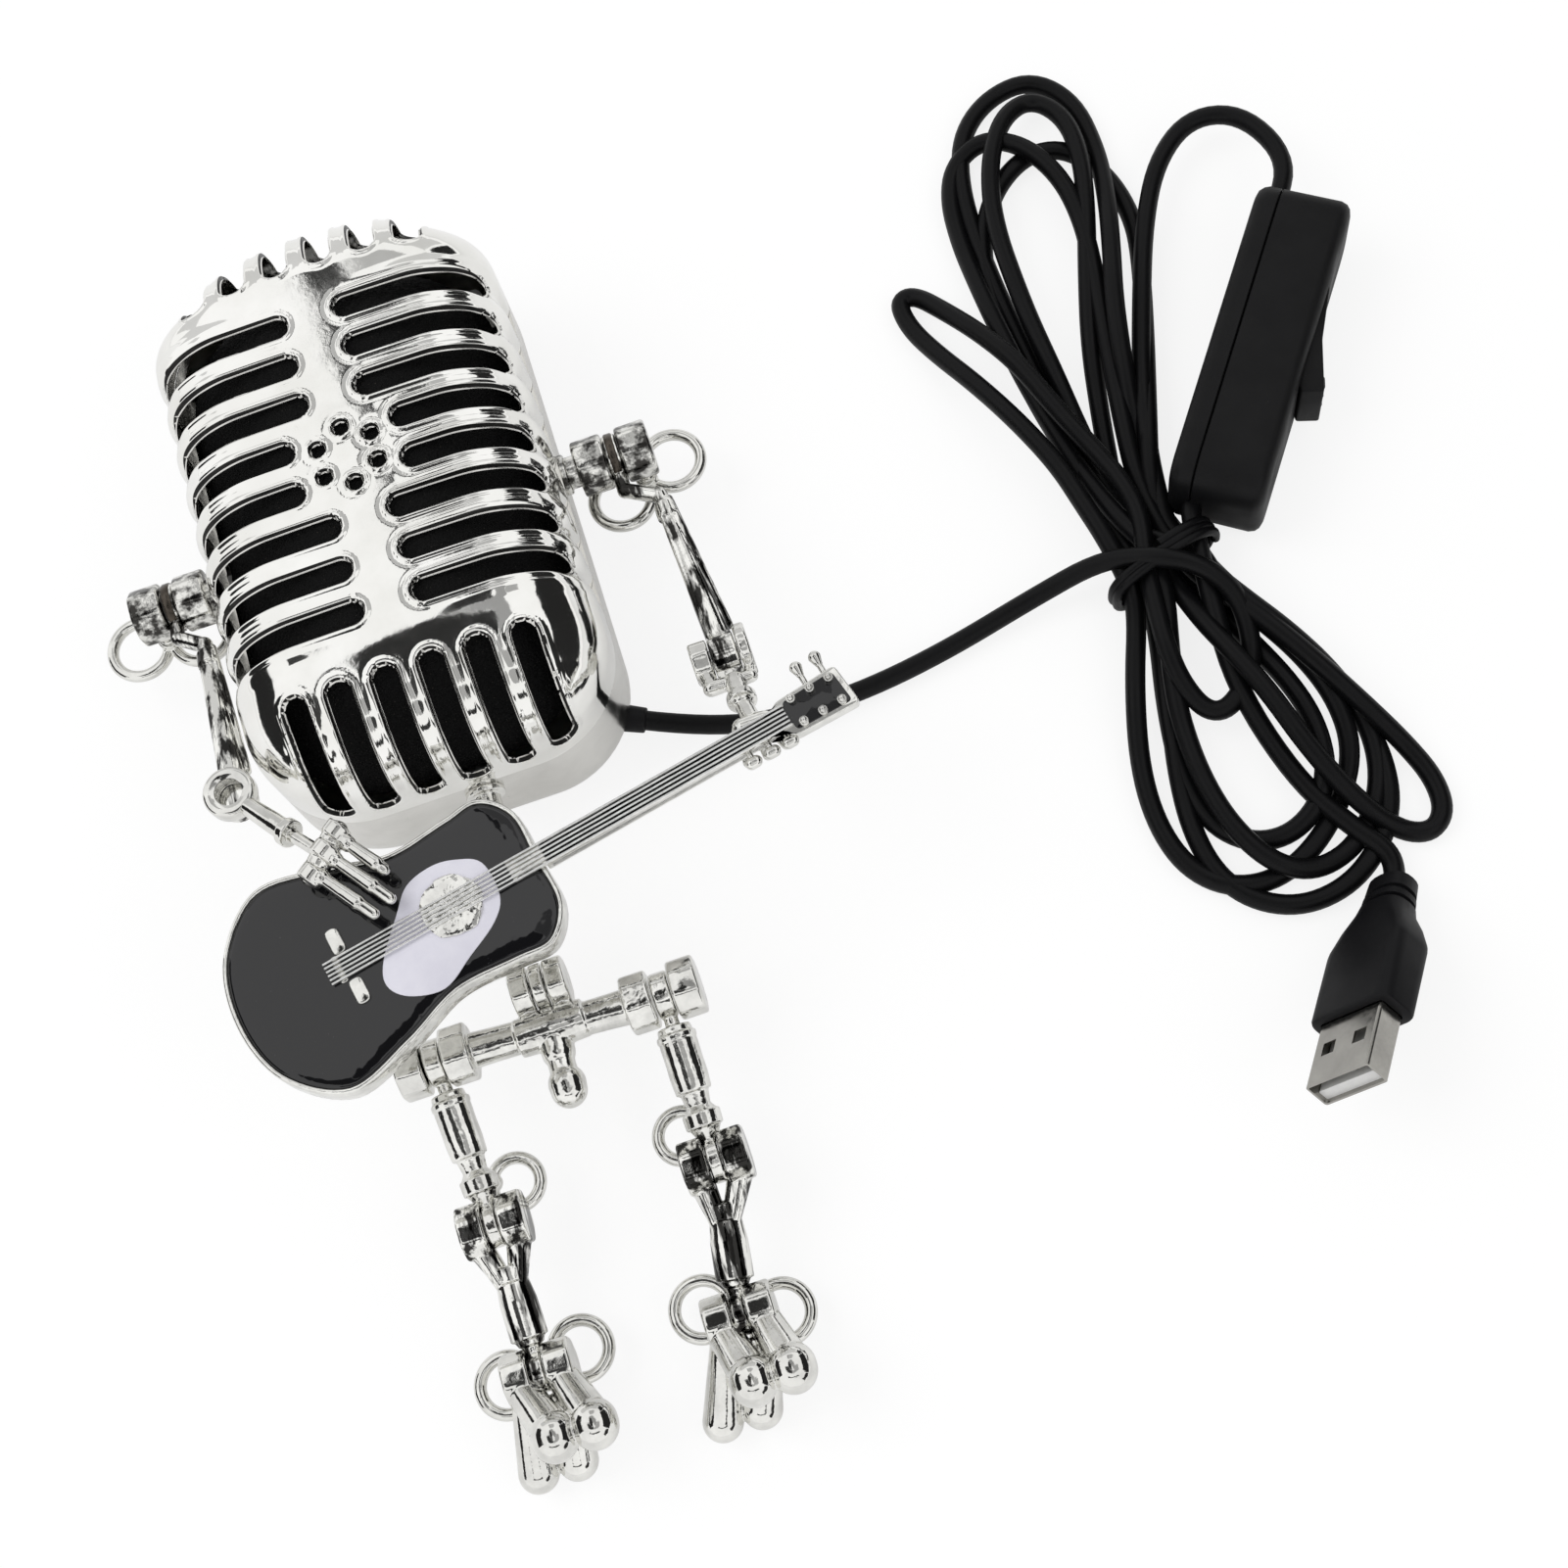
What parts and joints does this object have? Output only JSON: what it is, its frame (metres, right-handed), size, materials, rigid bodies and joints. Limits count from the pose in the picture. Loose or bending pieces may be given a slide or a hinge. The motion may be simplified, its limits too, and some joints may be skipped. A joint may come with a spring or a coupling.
{
  "type": "robot shaped desk lamp",
  "caption": "Robot figure desk lamp: slotted metal lamp head, jointed cast arms and legs, a small guitar, and a black cord with a rocker switch and plug.",
  "frame": {"origin": "centre of the flat back of the lamp head, which lies on the table", "axes": "+Z out of the table through the grille, +Y from the feet to the crown of the head, +X to the side of the head the cord leaves from"},
  "size_m": [0.2187, 0.2075, 0.0421],
  "materials": {
    "chrome": "polished",
    "cast": "cast, lightly pitted",
    "satin": "satin",
    "nickel": "bright",
    "bronze": "dull",
    "foam": "black foam",
    "board": "white solder mask",
    "led": "gloss",
    "steel": "satin",
    "black_enamel": "gloss",
    "pearl": "satin",
    "strings": "bright",
    "cord": "soft matte",
    "case": "fine matte",
    "white_plastic": "satin"
  },
  "bodies": {
    "lamp_head": {"cord_grommet": "case", "cord_hank_lower": "cord", "cord_hank_upper": "cord", "cord_lead": "cord", "cord_strands": "cord", "cord_tie": "cord", "front_grille_shell": "chrome", "grille_foam": "foam", "guitar_body": "nickel", "guitar_bridge": "nickel", "guitar_neck": "nickel", "guitar_pickguard": "pearl", "guitar_strings": "strings", "guitar_stud": "cast", "guitar_top_enamel": "black_enamel", "guitar_tuners": "nickel", "headstock_enamel": "black_enamel", "led_board": "board", "led_bracket": "steel", "led_chips": "led", "neck_post": "satin", "plug_overmold": "case", "plug_shell": "nickel", "plug_tongue": "white_plastic", "rear_shell": "satin", "shell_screws": "steel", "shoulder_block_left": "chrome", "shoulder_block_right": "chrome", "shoulder_nut_left": "chrome", "shoulder_nut_right": "chrome", "soundhole_plate": "nickel", "stud_nuts": "steel", "switch_case_base": "case", "switch_case_cover": "case", "wing_screw_shoulder_left": "chrome", "wing_screw_shoulder_right": "chrome"},
    "forearm_left": {"forearm_left": "cast"},
    "forearm_right": {"forearm_right": "cast", "elbow_pin_right": "steel"},
    "upper_arm_left": {"upper_arm_left": "cast"},
    "upper_arm_right": {"upper_arm_right": "cast"},
    "pelvis": {"hip_bar": "cast", "waist_pin": "steel", "hip_nut_left": "chrome", "hip_nut_right": "chrome"},
    "thigh_left": {"thigh_left": "cast", "knee_ring_left": "chrome"},
    "thigh_right": {"thigh_right": "cast", "knee_ring_right": "chrome"},
    "shin_left": {"shin_left": "cast", "knee_pin_left": "steel"},
    "shin_right": {"shin_right": "cast", "knee_pin_right": "steel"},
    "foot_left": {"foot_left": "chrome", "ankle_pin_left": "steel", "wing_screw_ankle_left": "chrome"},
    "foot_right": {"foot_right": "chrome", "ankle_pin_right": "steel", "wing_screw_ankle_right": "chrome"},
    "rocker": {"switch_rocker": "case"}
  },
  "joints": [
    {"name": "shoulder_left_hinge", "type": "hinge", "parent": "lamp_head", "child": "upper_arm_left", "pos_m": [-0.03835, -0.002, 0.0175], "axis": [1, 0, 0], "range_deg": [-60, 0]},
    {"name": "elbow_left_swivel", "type": "hinge", "parent": "upper_arm_left", "child": "forearm_left", "pos_m": [-0.0325, -0.0443, 0.03278], "axis": [0, 0, 1], "range_deg": [-8, 15]},
    {"name": "shoulder_right_hinge", "type": "hinge", "parent": "lamp_head", "child": "upper_arm_right", "pos_m": [0.03835, -0.002, 0.0175], "axis": [1, 0, 0], "range_deg": [0, 12]},
    {"name": "elbow_right_hinge", "type": "hinge", "parent": "upper_arm_right", "child": "forearm_right", "pos_m": [0.0456, -0.04537, 0.02491], "axis": [1, 0, 0], "range_deg": [0, 30]},
    {"name": "waist_hinge", "type": "hinge", "parent": "lamp_head", "child": "pelvis", "pos_m": [0.0029, -0.0845, 0.0175], "axis": [1, 0, 0], "range_deg": [-12, 35]},
    {"name": "hip_left_hinge", "type": "hinge", "parent": "pelvis", "child": "thigh_left", "pos_m": [-0.0155, -0.0905, 0.0175], "axis": [1, 0, 0], "range_deg": [-45, 45]},
    {"name": "hip_right_hinge", "type": "hinge", "parent": "pelvis", "child": "thigh_right", "pos_m": [0.0205, -0.0919, 0.0175], "axis": [1, 0, 0], "range_deg": [-45, 45]},
    {"name": "knee_left_hinge", "type": "hinge", "parent": "thigh_left", "child": "shin_left", "pos_m": [-0.014, -0.1161, 0.01299], "axis": [1, 0, 0], "range_deg": [-20, 75]},
    {"name": "knee_right_hinge", "type": "hinge", "parent": "thigh_right", "child": "shin_right", "pos_m": [0.0205, -0.1175, 0.01299], "axis": [1, 0, 0], "range_deg": [-20, 75]},
    {"name": "ankle_left_hinge", "type": "hinge", "parent": "shin_left", "child": "foot_left", "pos_m": [-0.0137, -0.13833, 0.00946], "axis": [1, 0, 0], "range_deg": [-30, 30]},
    {"name": "ankle_right_hinge", "type": "hinge", "parent": "shin_right", "child": "foot_right", "pos_m": [0.0171, -0.13973, 0.00946], "axis": [1, 0, 0], "range_deg": [-30, 30]},
    {"name": "switch_rocker_hinge", "type": "hinge", "parent": "lamp_head", "child": "rocker", "pos_m": [0.15063, -0.01875, 0.0087], "axis": [0, 0, 1], "range_deg": [-15, 0]}
  ]
}
